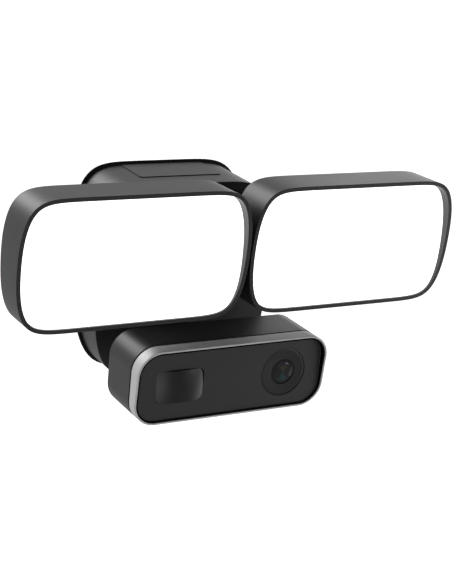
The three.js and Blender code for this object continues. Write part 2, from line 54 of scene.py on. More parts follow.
# ---------- driving dimensions, in millimetres ----------
PLATE = {"half_width": 66.2, "half_height": 69.2, "side": 6.4, "top": 2.57, "thickness": 1.2}
BASE = {"half_width": 64.3, "half_height": 65.8, "side": 6.4, "top": 2.57, "length": 37.5, "wall": 2.5}
BASE_TILT = math.radians(11.5)
BASE_BACK = -2.4
HATCH = {"half_width": 30, "front": -20, "thickness": 2, "rise": 0.5, "seam": 0.3}
CABLE_HOLE = {"z": 24, "radius": 12, "cable": 5}
BOX_SCREW = {"offset": 44.45, "upper_offset": 49.45, "half_length": 6, "half_width": 2.5}
TAB = {"x": 30, "y": -9, "z": -57, "half_width": 6, "half_thickness": 1.2, "reach": 15}
SCREW_SEAT = -67.5

HEAD = {"half_width": 75.2, "half_height": 41.4, "side": 10.5, "top": 2.3, "depth": 26.1, "wall": 2.6}
HEAD_TILT = math.radians(9.7)
HEAD_HOOD = math.radians(4.7)
LEDGE = {"front": 8, "back": 10, "width": 3}
DIFFUSER = (4, 6.6)  # its front and back
COVER = (22.6, 25.6)  # its front and back
COVER_SCREW = (58, 24)  # how far from the middle across and up
FIN = {"pitch": 8.5, "each_side": 5, "half_width": 0.9, "half_height": 26, "rise": 3}
FIN_FREE_WIDTH = 14  # no fins this close to the ears
HEAD_ARM_X = 44

CAMERA = {"half_width": 68.3, "half_height": 25.1, "corner": 15.9, "depth": 40.6, "wall": 2.2, "rim": 1.3}
CAMERA_TILT = math.radians(11)
CAMERA_FRONT = Vector((0, -math.cos(CAMERA_TILT), -math.sin(CAMERA_TILT)))
CAMERA_HOOD = math.radians(4.35)
BEZEL_DEPTH = 8.6
SEAM = (8.7, 9.5)  # its front and back
SHELL_FRONT = 9.6
PANEL = (3, 5)  # its front and back
TRAY_RIM = {"front": 0.5, "thickness": 1}
WINDOW = {"x": -36.8, "z": -0.8, "half_width": 16.5, "half_height": 10.5, "corner": 4.5}
BULGE = {"front": 0.8, "x": 36, "y": 20, "z": 50, "middle_z": -7}
LENS_X = 38.3
LENS_HOLE = 16.3
LENS_FRONT = PANEL[0] + 0.1
LENS_RING = {"inner": 8.6, "chamfer": 15, "outer": 16.1, "dish": 0.35}
LENS_BARREL = {"bore": 7, "front_radius": 8.2, "back_radius": 9.5, "step": 14, "back": 24}
LENS_CAP = {"radius": 8.4, "sphere": 33.3}
POCKET = {"half_width": 16, "half_height": 14, "front": 26}
SPEAKER_SLOT = {"first": 15.6, "pitch": 2.4, "count": 4, "half_length": 7, "half_width": 0.6, "reach": 6}
BUTTON = {"x": 40, "radius": 4, "flange": 1.2, "proud": 1}

JOINT = {"barrel": 8, "fork": 3, "tongue": 5, "lug": 4, "bolt": 2.3, "flange": 12, "flange_depth": 4}
NECK = {"half_width": 5, "half_height": 6}
SCREW = {"shank": 1.5, "tip": 0.8, "head": 2.8, "head_side": 0.9, "head_height": 1.7}
RECESS = {"half_length": 1.5, "half_width": 0.36, "floor": 0.7}
SCREW_HOLE = 1.8
GAP = 0.3


# ---------- where the CAD part's own frames are ----------
def middle_of(node):
    """The middle of a CAD node's box, in millimetres."""
    low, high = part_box(node)
    return (low + high) / 2 / MM


def module_place(node, depth_of_middle, tilt):
    """A module's frame, found from a CAD slab whose middle is at a known depth in it."""
    turn = Matrix.Rotation(tilt, 4, "X")
    centre = middle_of(node) - turn @ Vector((0, depth_of_middle, 0))
    return Matrix.Translation(centre) @ turn


def head_place(name):
    return module_place(f"{name}_diffuser", sum(DIFFUSER) / 2, HEAD_TILT)


def joint_in(place, name):
    """Where a joint is, in one of the part's own frames."""
    joint = next(j for j in frame["joints"] if j["name"] == name)
    return place.inverted() @ (Vector(joint["pos_m"]) / MM)


UPRIGHT = Matrix.Identity(4)
BASE_PLACE = Matrix.Rotation(BASE_TILT, 4, "X")
ALONG_X = Matrix.Rotation(-math.pi / 2, 4, "Z")  # turns a shape made along y to lie along x
ALONG_Z = Matrix.Rotation(math.pi / 2, 4, "X")  # turns a shape made along y to lie along z


def shifted(x=0, y=0, z=0):
    return Matrix.Translation((x, y, z))


CAMERA_PLACE = module_place("camera_seam_gasket", sum(SEAM) / 2, CAMERA_TILT)
CAMERA_PIN_DEPTH = joint_in(CAMERA_PLACE, "camera_tilt").y
HEAD_PIN_DEPTH = joint_in(head_place("left_head"), "left_head_tilt").y


# ---------- outlines: points in the x-z plane and the outward direction at each ----------
def bowed_outline(shape, count=256):
    """(x / half_width)^side + (z / half_height)^top = 1, with its points evenly spaced."""
    width, height, side, top = (shape[k] for k in ("half_width", "half_height", "side", "top"))
    samples = 20000
    angles = (np.arange(samples) + 0.5) / samples * 2 * np.pi
    c, s = np.cos(angles), np.sin(angles)
    x = width * np.sign(c) * np.abs(c) ** (2 / side)
    z = height * np.sign(s) * np.abs(s) ** (2 / top)
    along = np.concatenate([[0], np.cumsum(np.hypot(np.diff(x), np.diff(z)))])
    wanted = (np.arange(count) + 0.5) / count * along[-1]
    x, z = np.interp(wanted, along, x), np.interp(wanted, along, z)
    slope = np.stack([
        np.sign(x) * side / width * np.abs(x / width) ** (side - 1),
        np.sign(z) * top / height * np.abs(z / height) ** (top - 1),
    ], axis=1)
    return np.stack([x, z], axis=1), slope / np.linalg.norm(slope, axis=1, keepdims=True)


def rounded_outline(half_width, half_height, corner, steps):
    """A rectangle whose corners are arcs of a number of steps."""
    points, normals = [], []
    for quarter, (right, up) in enumerate([(1, 1), (-1, 1), (-1, -1), (1, -1)]):
        middle = np.array([right * (half_width - corner), up * (half_height - corner)])
        for step in range(steps + 1):
            angle = (quarter + step / steps) * math.pi / 2
            normal = np.array([math.cos(angle), math.sin(angle)])
            normals.append(normal)
            points.append(middle + corner * normal)
    return np.array(points), np.array(normals)


def circle_outline(count):
    """A circle of radius 1, which turned() insets to any radius."""
    angles = np.arange(count) / count * 2 * np.pi
    ring = np.stack([np.cos(angles), np.sin(angles)], axis=1)
    return ring, ring


def evenly_spaced(points, count):
    """Points at equal steps along a closed outline."""
    loop = np.vstack([points, points[:1]])
    along = np.concatenate([[0], np.cumsum(np.hypot(*np.diff(loop, axis=0).T))])
    wanted = np.arange(count) / count * along[-1]
    return np.stack([np.interp(wanted, along, loop[:, axis]) for axis in (0, 1)], axis=1)


def moved_outline(outline, x=0, z=0):
    return outline[0] + np.array([x, z]), outline[1]


# ---------- solids ----------
ROUNDING_SHARE = 0.45  # a rounding takes up at most this share of an edge


def solid(name, place, vertices, faces):
    """A closed mesh. It keeps each vertex's place in its own frame, which some finishes use."""
    mesh = bpy.data.meshes.new(name)
    mesh.from_pydata([place @ Vector(v) * MM for v in vertices], [], faces)
    own = mesh.attributes.new("own_place", "FLOAT_VECTOR", "POINT")
    own.data.foreach_set("vector", np.array(vertices, np.float32).ravel())
    edit = bmesh.new()
    edit.from_mesh(mesh)
    bmesh.ops.recalc_face_normals(edit, faces=edit.faces)
    edit.to_mesh(mesh)
    edit.free()
    piece = bpy.data.objects.new(name, mesh)
    bpy.context.scene.collection.objects.link(piece)
    return piece


def softened(corners, closed, steps=4):
    """Rounds a profile. A corner is (inset, depth, slope, radius); the ends of an open profile stay."""
    rounded = []
    for i, corner in enumerate(corners):
        at = np.array(corner[:3], float)
        is_end = not closed and i in (0, len(corners) - 1)
        if is_end or corner[3] == 0:
            rounded.append(at)
            continue
        before = np.array(corners[i - 1][:3], float) - at
        after = np.array(corners[(i + 1) % len(corners)][:3], float) - at
        start = at + before * min(corner[3] / np.linalg.norm(before[:2]), ROUNDING_SHARE)
        end = at + after * min(corner[3] / np.linalg.norm(after[:2]), ROUNDING_SHARE)
        for t in np.linspace(0, 1, steps + 1):
            rounded.append((1 - t) ** 2 * start + 2 * t * (1 - t) * at + t**2 * end)
    return rounded


def loft(name, place, outline, corners, closed=False):
    """Rings of one outline, joined in order. depth is along y, and slope tips a ring by its height."""
    points, normals = outline
    rings = softened(corners, closed)
    count = len(points)
    vertices, faces = [], []
    for inset, depth, slope in rings:
        vertices += [(x, depth + slope * z, z) for x, z in points - inset * normals]
    for ring in range(len(rings) if closed else len(rings) - 1):
        here, there = ring * count, (ring + 1) % len(rings) * count
        for i in range(count):
            j = (i + 1) % count
            faces.append((here + i, here + j, there + j, there + i))
    if not closed:
        faces.append(tuple(range(count)))
        faces.append(tuple(range(len(vertices) - count, len(vertices))))
    return solid(name, place, vertices, faces)


def slab(name, place, outline, front, back, radius=0.4, inset=0):
    """An outline from a front to a back depth, with its edges rounded."""
    inside = inset + radius + 0.4
    return loft(name, place, outline, [
        (inside, front, 0, 0),
        (inset, front, 0, radius),
        (inset, back, 0, radius),
        (inside, back, 0, 0),
    ])


def turned(name, place, corners, closed=False, segments=64):
    """A piece turned about the y axis. A corner is (radius, depth, rounding)."""
    profile = [(1 - radius, depth, 0, rounding) for radius, depth, rounding in corners]
    return loft(name, place, circle_outline(segments), profile, closed)


def disc(name, place, radius, front, back, rounding=0.5, segments=64):
    inner = radius - rounding - 0.3
    return turned(name, place, [
        (inner, front, 0),
        (radius, front, rounding),
        (radius, back, rounding),
        (inner, back, 0),
    ], segments=segments)


def combined(operation, body, others):
    """Joins, cuts or intersects a piece with others, which are used up."""
    for other in others:
        change = body.modifiers.new("combine", "BOOLEAN")
        change.operation = operation
        change.solver = "MANIFOLD"
        change.object = other
    graph = bpy.context.evaluated_depsgraph_get()
    mesh = bpy.data.meshes.new_from_object(body.evaluated_get(graph))
    body.modifiers.clear()
    body.data = mesh
    for other in others:
        bpy.data.objects.remove(other)
    return body


def fuse(body, *others):
    return combined("UNION", body, others)


def carve(body, *tools):
    return combined("DIFFERENCE", body, tools)


def common(body, other):
    return combined("INTERSECT", body, [other])


SHARP_ANGLE = math.radians(32)
SAME_POINT = 1e-7  # metres


def shade(piece):
    """Smooth faces, sharp where they meet at a real corner, and flat areas kept flat."""
    edit = bmesh.new()
    edit.from_mesh(piece.data)
    bmesh.ops.remove_doubles(edit, verts=edit.verts, dist=SAME_POINT)
    for face in edit.faces:
        face.smooth = True
    for edge in edit.edges:
        edge.smooth = edge.calc_face_angle(0) < SHARP_ANGLE
    edit.to_mesh(piece.data)
    edit.free()
    weighted = piece.modifiers.new("flat areas", "WEIGHTED_NORMAL")
    weighted.keep_sharp = True
    weighted.weight = 100


# ---------- finishes ----------
class Finish:
    """A material and short ways to wire up its nodes."""

    def __init__(self, name):
        self.material = bpy.data.materials.new(name)
        self.material.use_nodes = True
        self.tree = self.material.node_tree
        self.surface = self.tree.nodes["Principled BSDF"]
        coordinates = self.tree.nodes.new("ShaderNodeTexCoord")
        self.place = coordinates.outputs["Object"]

    def node(self, kind, inputs=None, **settings):
        made = self.tree.nodes.new(kind)
        for key, value in settings.items():
            setattr(made, key, value)
        for key, value in (inputs or {}).items():
            self.plug(made.inputs[key], value)
        return made

    def plug(self, socket, value):
        if isinstance(value, bpy.types.NodeSocket):
            self.tree.links.new(value, socket)
        else:
            socket.default_value = value

    def noise(self, size, detail=3, stretch=None):
        """Noise with features of about `size` millimetres."""
        place = self.place
        if stretch:
            stretched = self.node("ShaderNodeMapping", {"Vector": place, "Scale": stretch})
            place = stretched.outputs["Vector"]
        inputs = {"Vector": place, "Scale": 1 / (size * MM), "Detail": detail}
        return self.node("ShaderNodeTexNoise", inputs).outputs["Fac"]

    def between(self, value, low, high, start=0.3, end=0.7):
        """Goes from low to high while the value goes from start to end."""
        inputs = {"Value": value, "From Min": start, "From Max": end, "To Min": low, "To Max": high}
        return self.node("ShaderNodeMapRange", inputs).outputs["Result"]

    def math(self, operation, first, second=0.0):
        return self.node("ShaderNodeMath", {0: first, 1: second}, operation=operation).outputs[0]

    def dot(self, first, second):
        inputs = {0: first, 1: second}
        return self.node("ShaderNodeVectorMath", inputs, operation="DOT_PRODUCT").outputs["Value"]

    def blend(self, factor, first, second):
        """A colour between two others. A grey may be given as one number."""
        colours = [(c, c, c, 1) if isinstance(c, (int, float)) else c for c in (first, second)]
        inputs = {"Factor": factor, 6: colours[0], 7: colours[1]}
        return self.node("ShaderNodeMix", inputs, data_type="RGBA").outputs[2]

    def edges(self, radius):
        """1 at edges tighter than a radius in millimetres, 0 on open surfaces."""
        bevel = self.node("ShaderNodeBevel", {"Radius": radius * MM}, samples=4)
        geometry = self.node("ShaderNodeNewGeometry")
        same = self.dot(bevel.outputs["Normal"], geometry.outputs["Normal"])
        return self.between(same, 1, 0, 0.75, 0.98)

    def facing(self, direction):
        """The cosine between the piece's surface and a direction that is fixed to the piece."""
        return self.dot(self.node("ShaderNodeTexCoord").outputs["Normal"], direction)

    def depth_in(self, place):
        """How far back a point is in a module's own frame, in metres."""
        back = place.to_3x3() @ Vector((0, 1, 0))
        return self.math("SUBTRACT", self.dot(self.place, back), back.dot(place.translation) * MM)

    def bump(self, height, depth):
        """Raises the surface by `depth` millimetres where the height is 1."""
        inputs = {"Height": height, "Distance": depth * MM, "Strength": 1.0}
        return self.node("ShaderNodeBump", inputs).outputs["Normal"]

    def set(self, **inputs):
        """Plugs values into the surface. An underscore in a name stands for a space."""
        for key, value in inputs.items():
            self.plug(self.surface.inputs[key.replace("_", " ")], value)
        return self.material


def painted(name, dark, light, rough, grain_size, grain_depth, worn):
    """A coloured skin: cloudy tone, fine grain, and slightly paler, smoother edges."""
    finish = Finish(name)
    tone = finish.blend(finish.between(finish.noise(45), 0, 1), dark, light)
    rubbed = finish.math("MULTIPLY", finish.edges(0.5), finish.between(finish.noise(6), 0.2, 1))
    grain = finish.noise(grain_size, detail=2)
    roughness = finish.between(finish.noise(30), rough - 0.01, rough + 0.01)
    return finish.set(
        Base_Color=finish.blend(rubbed, tone, worn),
        Roughness=finish.math("SUBTRACT", roughness, finish.math("MULTIPLY", rubbed, 0.06)),
        Normal=finish.bump(grain, grain_depth),
    )


def satin_shell():
    return painted("satin_shell", 0.022, 0.025, rough=0.42, grain_size=0.35, grain_depth=0.003, worn=0.04)


def cast_cover():
    dark, light = (0.024, 0.024, 0.025, 1), (0.032, 0.032, 0.033, 1)
    return painted("cast_cover", dark, light, rough=0.5, grain_size=0.9, grain_depth=0.03, worn=0.08)


def plate_black():
    return painted("plate_black", 0.008, 0.012, rough=0.42, grain_size=0.8, grain_depth=0.01, worn=0.03)


def seal_rubber():
    return painted("seal_rubber", 0.008, 0.012, rough=0.75, grain_size=0.5, grain_depth=0.02, worn=0.02)


def black_plastic():
    return painted("black_plastic", 0.012, 0.018, rough=0.5, grain_size=0.5, grain_depth=0.01, worn=0.04)


def white_plastic():
    return painted("white_plastic", 0.72, 0.8, rough=0.5, grain_size=0.6, grain_depth=0.01, worn=0.85)


def lens_surround():
    return painted("lens_surround", 0.022, 0.024, rough=0.3, grain_size=0.4, grain_depth=0.001, worn=0.036)


def gloss_front():
    """Smoked plastic. The thin wall that lines the bezel is painted nearly black and less shiny as painted shade.
    """
    finish = Finish("gloss_front")
    depth = finish.depth_in(CAMERA_PLACE)
    # the depth where the painted shade on the wall that lines the bezel ends
    painted_shade_end = PANEL[0] - 0.4
    face = finish.between(depth, 0, 1, painted_shade_end * MM, (painted_shade_end + 0.2) * MM)
    tone = finish.blend(finish.between(finish.noise(45), 0, 1), 0.046, 0.049)
    grain = finish.noise(0.3, detail=2)
    return finish.set(
        # painted shade: the wall that lines the bezel, in front of the face, is made nearly black
        Base_Color=finish.blend(face, 0.003, tone),
        Roughness=finish.between(finish.noise(30), 0.34, 0.36),
        # painted shade: that wall also reflects less than the face
        Specular_IOR_Level=finish.between(face, 0.03, 0.5, 0, 1),
        Normal=finish.bump(grain, 0.001),
    )


def motion_window():
    return painted("motion_window", 0.008, 0.01, rough=0.3, grain_size=0.3, grain_depth=0.0005, worn=0.012)


def led_board():
    """White solder mask with the yellow phosphor of each package standing on it."""
    finish = Finish("led_board")
    speckle = finish.noise(1.5)
    tone = finish.blend(finish.between(speckle, 0, 1), 0.74, 0.82)
    return finish.set(Base_Color=tone, Roughness=finish.between(finish.noise(9), 0.35, 0.5),
                      Normal=finish.bump(speckle, 0.02))


def circuit_board():
    """Green solder mask over copper tracks that run in two directions."""
    finish = Finish("circuit_board")
    tracks, cross_tracks = (
        finish.between(finish.noise(2.2, detail=0, stretch=stretch), 0, 1, 0.5, 0.53)
        for stretch in ((1, 1, 0.15), (0.15, 1, 1))
    )
    copper = finish.math("MAXIMUM", tracks, cross_tracks)
    tone = finish.blend(copper, (0.006, 0.06, 0.025, 1), (0.012, 0.12, 0.045, 1))
    return finish.set(Base_Color=tone, Roughness=finish.between(copper, 0.4, 0.3, 0, 1),
                      Normal=finish.bump(copper, 0.03))


def metal(name, tone, rough, brush_size, stretch):
    """Bare metal with fine marks along one direction and softer, brighter edges."""
    finish = Finish(name)
    marks = finish.noise(brush_size, detail=2, stretch=stretch)
    shade_of = finish.blend(finish.between(marks, 0, 1), tone * 0.94, tone)
    return finish.set(
        Base_Color=finish.blend(finish.edges(0.25), shade_of, min(tone * 1.25, 0.9)),
        Metallic=1.0,
        Roughness=finish.between(marks, rough - 0.03, rough + 0.03),
        Normal=finish.bump(marks, 0.001),
    )


def bare_aluminium():
    return metal("bare_aluminium", 0.62, rough=0.35, brush_size=0.6, stretch=(1, 1, 8))


def fastener_steel():
    return metal("fastener_steel", 0.42, rough=0.3, brush_size=0.5, stretch=(1, 1, 1))


def bezel_silver():
    """Satin metal. Its front-facing cut edge is painted paler and not metallic as a painted highlight, and a dark
    band of painted shade runs where it meets the shell.
    """
    finish = Finish("bezel_silver")
    marks = finish.noise(0.5, detail=2, stretch=(1, 6, 1))
    # painted highlight: faces that point out of the front are made paler
    lip_highlight = finish.between(finish.facing(CAMERA_FRONT), 0, 1, 0.35, 0.75)
    # painted shade: a dark band on the bezel just in front of where it meets the shell
    seam_shade_band = (BEZEL_DEPTH - 0.7, BEZEL_DEPTH - 0.4)
    joint = finish.between(finish.depth_in(CAMERA_PLACE), 0, 1, seam_shade_band[0] * MM, seam_shade_band[1] * MM)
    tone = finish.blend(lip_highlight, finish.blend(finish.between(marks, 0, 1), 0.74, 0.78), 0.88)
    return finish.set(
        Base_Color=finish.blend(joint, tone, 0.01),
        # the painted highlight and the painted shade are both made not metallic
        Metallic=finish.between(finish.math("MAXIMUM", lip_highlight, joint), 0.25, 0, 0, 1),
        Roughness=finish.between(marks, 0.5, 0.56),
        Normal=finish.bump(marks, 0.001),
    )


def diffuser():
    """Opal sheet, lit evenly from behind, with a faint cloudiness in its glow."""
    finish = Finish("diffuser")
    mottle = finish.between(finish.noise(20), 1.5, 1.7)
    return finish.set(
        Base_Color=finish.blend(finish.between(finish.noise(3), 0, 1), 0.86, 0.9),
        Roughness=0.45,
        Emission_Color=(1.0, 1.0, 1.0, 1),
        Emission_Strength=mottle,
        Normal=finish.bump(finish.noise(0.8), 0.01),
    )


def lens_glass():
    """Coated glass with painted reflections: coloured glints of the elements behind it are painted into its
    colour, set by the distance from the middle and the side.
    """
    finish = Finish("lens_glass")
    own = finish.node("ShaderNodeAttribute", attribute_name="own_place").outputs["Vector"]
    parts = finish.node("ShaderNodeSeparateXYZ", {0: own})
    across, up = parts.outputs["X"], parts.outputs["Z"]
    squares = finish.math("ADD", finish.math("POWER", across, 2.0), finish.math("POWER", up, 2.0))
    radius = finish.math("SQRT", squares)
    side = finish.math("DIVIDE", up, finish.math("MAXIMUM", radius, 0.2))
    # masks for the painted reflections: a wedge and an arc above the middle, a wedge below it
    above = finish.between(side, 0, 1, 0.55, 0.9)
    below = finish.between(side, 0, 1, -0.72, -0.95)
    rim = finish.math("MULTIPLY", above, finish.between(radius, 0, 1, 5.4, 6.2))
    outside = finish.between(radius, 0, 1, 6.4, 7)
    middle = finish.math("MULTIPLY", above, finish.between(radius, 1, 0, 4.2, 5.0))
    lower = finish.math("MULTIPLY", below, finish.between(radius, 1, 0, 5.6, 6.4))
    # painted reflections: an olive wedge above the middle, a teal wedge below it and a magenta arc near the top
    plain, olive_reflection, teal_reflection, magenta_reflection, edge = (
        (0.052, 0.052, 0.054, 1),
        (0.09, 0.088, 0.066, 1),
        (0.05, 0.095, 0.092, 1),
        (0.1, 0.062, 0.1, 1),
        0.045,
    )
    tone = finish.blend(middle, plain, olive_reflection)
    tone = finish.blend(lower, tone, teal_reflection)
    tone = finish.blend(rim, tone, magenta_reflection)
    return finish.set(
        Base_Color=finish.blend(outside, tone, edge),
        Roughness=finish.between(finish.noise(5), 0.04, 0.07),
        Specular_IOR_Level=0.06,
    )


LOOKS = {
    make.__name__: make()
    for make in (
        satin_shell, cast_cover, plate_black, seal_rubber, diffuser, white_plastic, led_board, circuit_board,
        black_plastic, bare_aluminium, bezel_silver, gloss_front, motion_window, lens_surround, lens_glass,
        fastener_steel,
    )
}

# ---------- pieces and the CAD nodes they stand for ----------
BODIES = frame["record"]["behaviour"]["bodies"]
SLOT_OF = {part["node"]: part["material_slot"] for part in frame["record"]["subparts"]}
BODY_OF = {node: body for body, nodes in BODIES.items() for node in nodes}


def stand_in(piece, node):
    """Finishes a fine piece and puts it in the place of a CAD node."""
    piece.data.materials.clear()
    piece.data.materials.append(LOOKS[SLOT_OF[node]])
    shade(piece)
    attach(piece, BODY_OF[node])
    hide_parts(node)


def dress_other_nodes():
    """Gives every CAD node that is still shown the finish of its own slot."""
    for node, cad in frame["nodes"].items():
        if not cad.hide_render:
            cad.data.materials.clear()
            cad.data.materials.append(LOOKS[SLOT_OF[node]])


# ---------- light heads ----------
HEAD_FIT = HEAD["wall"] + 0.2  # the inset of what lies inside a head's wall


def head_housing(place):
    """A deep ring whose front is tipped by the hood, with a ledge inside for the diffuser."""
    wall, ledge, tip = HEAD["wall"], HEAD["wall"] + LEDGE["width"], -math.tan(HEAD_HOOD)
    return loft("housing", place, bowed_outline(HEAD), [
        (0, HEAD["depth"], 0, 0.3),
        (0, 0, tip, 0.3),
        (wall, 0, tip, 0.2),
        (wall, LEDGE["front"], 0, 0.2),
        (ledge, LEDGE["front"], 0, 0.2),
        (ledge, LEDGE["back"], 0, 0.2),
        (wall, LEDGE["back"], 0, 0.2),
        (wall, HEAD["depth"], 0, 0.4),
    ], closed=True)


def head_diffuser(place):
    return slab("diffuser", place, bowed_outline(HEAD), *DIFFUSER, radius=0.5, inset=HEAD_FIT)


def lug_pair(place, x, root, pin):
    """Two ears on a module's back that hug the knuckle's tongue."""
    half_depth, half_width = (pin - root) / 2, JOINT["lug"] / 2
    ears = []
    for side in (-1, 1):
        middle = x + side * (JOINT["tongue"] + GAP + half_width)
        at_pin = place @ shifted(middle, pin, 0) @ ALONG_X
        eye = disc("eye", at_pin, JOINT["barrel"], -half_width, half_width)
        at_root = place @ shifted(middle, root + half_depth, 0) @ ALONG_X
        outline = rounded_outline(half_depth, JOINT["barrel"], 0.5, steps=2)
        ears.append(fuse(eye, slab("ear", at_root, outline, -half_width, half_width, radius=0.5)))
    return ears


def bore(place, reach):
    return disc("bore", place, JOINT["bolt"] + GAP, -reach, reach, rounding=0.1)


def rear_cover(place, lug_x):
    """A plate with cooling fins, two ears for the tilt bolt and four screw holes."""
    cover = slab("cover", place, bowed_outline(HEAD), *COVER, radius=0.5, inset=HEAD_FIT)
    inside_cover = COVER[0] + 1
    fins = []
    for i in range(-FIN["each_side"], FIN["each_side"] + 1):
        x = i * FIN["pitch"]
        if abs(x - lug_x) < FIN_FREE_WIDTH:
            continue
        outline = moved_outline(rounded_outline(FIN["half_width"], FIN["half_height"], 0.8, steps=4), x=x)
        fins.append(slab("fin", place, outline, inside_cover, COVER[1] + FIN["rise"], radius=0.3))
    fuse(cover, *fins, *lug_pair(place, lug_x, inside_cover, HEAD_PIN_DEPTH))
    through = {"front": COVER[0] - 1, "back": COVER[1] + 1, "rounding": 0.1, "segments": 32}
    holes = [
        disc("hole", place @ shifted(x, 0, z), SCREW_HOLE, **through)
        for x in (-COVER_SCREW[0], COVER_SCREW[0])
        for z in (-COVER_SCREW[1], COVER_SCREW[1])
    ]
    return carve(cover, *holes, bore(place @ shifted(lug_x, HEAD_PIN_DEPTH, 0) @ ALONG_X, reach=15))


def screw(place, length):
    """A pan-head screw that points along -y, with a cross recess in its head."""
    shank, head = SCREW["shank"], SCREW["head"]
    body = turned("screw", place, [
        (SCREW["tip"], -length, 0),
        (shank, -length, 0.3),
        (shank, 0, 0),
        (head, 0, 0.2),
        (head, SCREW["head_side"], 0.5),
        (1.7, 1.6, 0.3),
        (0.9, SCREW["head_height"], 0),
    ], segments=40)
    long, short = RECESS["half_length"], RECESS["half_width"]
    arms = [
        slab("recess", place, rounded_outline(half_x, half_z, 0.3, steps=2), RECESS["floor"], 3, radius=0.1)
        for half_x, half_z in ((long, short), (short, long))
    ]
    return carve(body, fuse(*arms))


def bolt(place, half_grip):
    """A bolt along y with a hexagon recess in its head at the front and a nut at its back."""
    seat, thickness = half_grip + GAP, 2.4
    shank, head = JOINT["bolt"], JOINT["bolt"] * 1.8
    body = turned("bolt", place, [
        (head - 0.8, -seat - thickness, 0),
        (head, -seat - thickness, 0.4),
        (head, -seat, 0.1),
        (shank, -seat, 0),
        (shank, seat, 0),
        (head, seat, 0.1),
        (head, seat + thickness / 2, 0.3),
        (head * 0.7, seat + 2.2, 0.3),
        (1, seat + thickness, 0),
    ], segments=48)
    socket_floor = -seat - thickness / 2
    return carve(body, disc("socket", place, 1.9, -seat - 4, socket_floor, rounding=0.1, segments=6))


def add_head(name, side):
    """side is -1 for the head on the viewer's left and 1 for the one on the right."""
    place = head_place(name)
    lug_x = side * HEAD_ARM_X - place.translation.x
    stand_in(head_housing(place), f"{name}_housing")
    stand_in(head_diffuser(place), f"{name}_diffuser")
    stand_in(rear_cover(place, lug_x), f"{name}_rear_cover")
    for end, x in (("left", -COVER_SCREW[0]), ("right", COVER_SCREW[0])):
        for level, z in (("lower", -COVER_SCREW[1]), ("upper", COVER_SCREW[1])):
            at_hole = place @ shifted(x, COVER[1] + 0.1, z)
            stand_in(screw(at_hole, length=6), f"{name}_screw_{level}_{end}")
    at_pin = place @ shifted(lug_x, HEAD_PIN_DEPTH, 0) @ ALONG_X
    stand_in(bolt(at_pin, JOINT["tongue"] + GAP + JOINT["lug"]), f"{name}_tilt_bolt")


# ---------- arms and knuckles, in the leaning base's frame ----------
def arm(pan):
    """A flange on the housing's front, a neck, and a barrel round the pan pin."""
    seat, half = -BASE["length"] - GAP, JOINT["barrel"]
    here = BASE_PLACE @ shifted(pan.x, 0, pan.z)
    at_pan = here @ shifted(0, pan.y, 0) @ ALONG_Z
    flange = disc("arm", here, JOINT["flange"], seat - JOINT["flange_depth"], seat, rounding=1)
    section = rounded_outline(NECK["half_width"], NECK["half_height"], 2, steps=6)
    neck = slab("neck", here, section, pan.y, seat - 1, radius=0.3)
    fuse(flange, neck, disc("barrel", at_pan, half, -half, half, rounding=0.8))
    return carve(flange, bore(at_pan, reach=12))


def knuckle(pan, pin):
    """A fork round the arm's barrel and, in front of it, a tongue with the tilt bore."""
    here = BASE_PLACE @ shifted(pan.x, 0, pan.z)
    at_pan = here @ shifted(0, pan.y, 0) @ ALONG_Z
    at_pin = here @ shifted(0, pin.y, 0) @ ALONG_X
    radius, inner = JOINT["barrel"], JOINT["barrel"] + GAP
    outer = inner + JOINT["fork"]
    web_front, web_back = pin.y + radius + 0.8, pan.y - radius - 0.6
    web = rounded_outline(radius, outer, 1.5, steps=4)
    body = slab("knuckle", here, web, web_front, web_back, radius=0.6)
    half = (pan.y - web_front + 3) / 2
    for low, high in ((-outer, -inner), (inner, outer)):
        eye = disc("eye", at_pan, radius, low, high)
        outline = rounded_outline(radius, half, 0.6, steps=2)
        plate = slab("fork", here @ shifted(0, pan.y - half, 0) @ ALONG_Z, outline, low, high, radius=0.5)
        fuse(body, fuse(eye, plate))
    section = rounded_outline(JOINT["tongue"], radius, 0.6, steps=2)
    tongue = slab("tongue", here, section, pin.y, web_front + 1)
    eye = disc("eye", at_pin, radius, -JOINT["tongue"], JOINT["tongue"])
    fuse(body, fuse(tongue, eye))
    return carve(body, bore(at_pan, reach=15), bore(at_pin, reach=15))


def add_arm(name):
    pan, pin = joint_in(BASE_PLACE, f"{name}_pan"), joint_in(BASE_PLACE, f"{name}_tilt")
    stand_in(arm(pan), f"{name}_arm")
    stand_in(knuckle(pan, pin), f"{name}_knuckle")
    at_pan = BASE_PLACE @ shifted(pan.x, pan.y, pan.z) @ ALONG_Z
    stand_in(bolt(at_pan, JOINT["barrel"] + GAP + JOINT["fork"]), f"{name}_pan_bolt")


# ---------- camera ----------
def camera_outline():
    return rounded_outline(CAMERA["half_width"], CAMERA["half_height"], CAMERA["corner"], steps=24)


def bezel(place):
    tip = -math.tan(CAMERA_HOOD)
    return loft("bezel", place, camera_outline(), [
        (0, BEZEL_DEPTH, 0, 0.25),
        (0, 0, tip, 0.45),
        (CAMERA["rim"], 0, tip, 0.45),
        (CAMERA["rim"], BEZEL_DEPTH, 0, 0.2),
    ], closed=True)


def window_outline(clearance=0.0):
    sizes = (WINDOW[k] + clearance for k in ("half_width", "half_height", "corner"))
    return moved_outline(rounded_outline(*sizes, steps=12), x=WINDOW["x"], z=WINDOW["z"])


